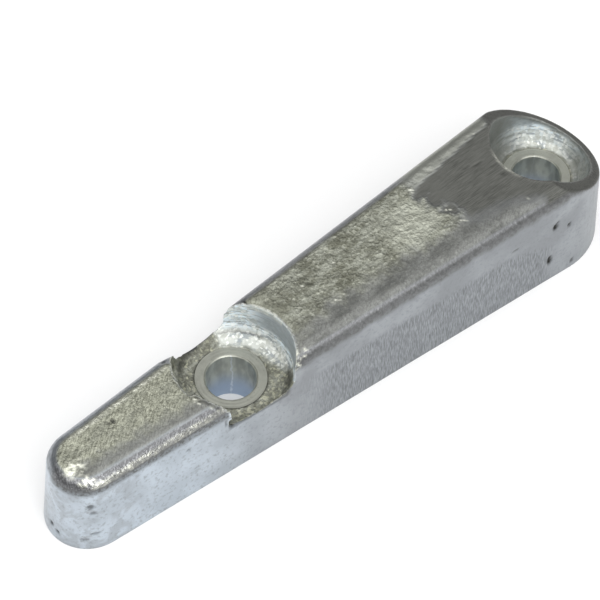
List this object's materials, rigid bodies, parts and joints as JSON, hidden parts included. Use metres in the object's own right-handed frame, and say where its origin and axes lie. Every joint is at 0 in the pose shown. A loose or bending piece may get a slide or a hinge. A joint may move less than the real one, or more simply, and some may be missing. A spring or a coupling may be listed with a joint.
{
  "type": "sacrificial anode",
  "caption": "Tapered cast zinc anode bar with steel-bushed bolt holes sunk in round pockets, and a flat underside that bolts to a hull or drive.",
  "frame": {"origin": "where the middle bolt hole's axis meets the flat underside", "axes": "+Z out of the underside through the crown, along both bolt holes; +X from the middle bolt hole to the one at the wide end; +Y across the bar"},
  "size_m": [0.1163, 0.026, 0.0212],
  "materials": {
    "zinc": "as cast, dull bluish grey with brighter worn edges",
    "steel": "turned, dull"
  },
  "bodies": {
    "root": {"anode_casting": "zinc", "middle_bush": "steel", "wide_end_bush": "steel"}
  },
  "joints": []
}
